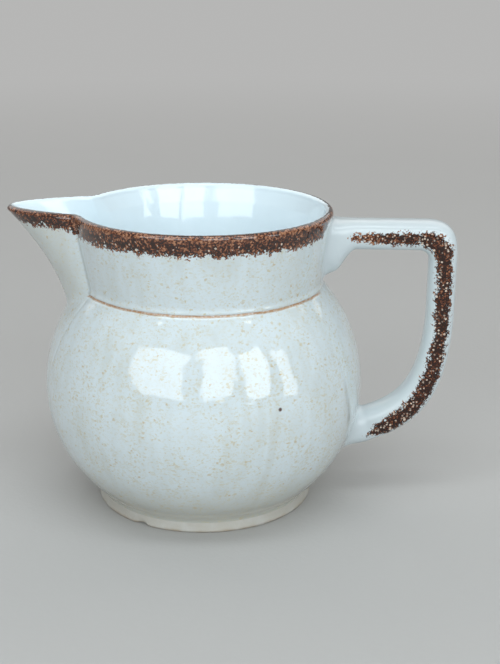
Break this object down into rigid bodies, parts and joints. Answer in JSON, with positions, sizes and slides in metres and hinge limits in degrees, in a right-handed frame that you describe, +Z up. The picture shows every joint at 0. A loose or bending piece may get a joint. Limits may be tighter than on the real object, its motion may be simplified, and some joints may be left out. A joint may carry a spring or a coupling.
{
  "type": "ceramic jug",
  "caption": "Round-bellied glazed ceramic jug with a straight collar, a pulled beak spout, a square-shouldered strap handle and a low foot ring.",
  "frame": {"origin": "middle of the jug's footprint box, on the surface that it stands on", "axes": "+X towards the handle, -X towards the spout, +Z up out of the mouth"},
  "size_m": [0.2013, 0.1456, 0.136],
  "materials": {
    "speckled_glaze": "glossy glaze with ochre specks",
    "white_glaze": "glossy white glaze with a sponged brown stripe",
    "foot_glaze": "thin satin glaze, wiped at the foot"
  },
  "bodies": {
    "root": {"body": "speckled_glaze", "foot_ring": "foot_glaze", "foot_lute": "foot_glaze", "spout": "speckled_glaze", "spout_lute": "speckled_glaze", "handle": "white_glaze", "upper_handle_lute": "white_glaze", "lower_handle_lute": "white_glaze"}
  },
  "joints": []
}
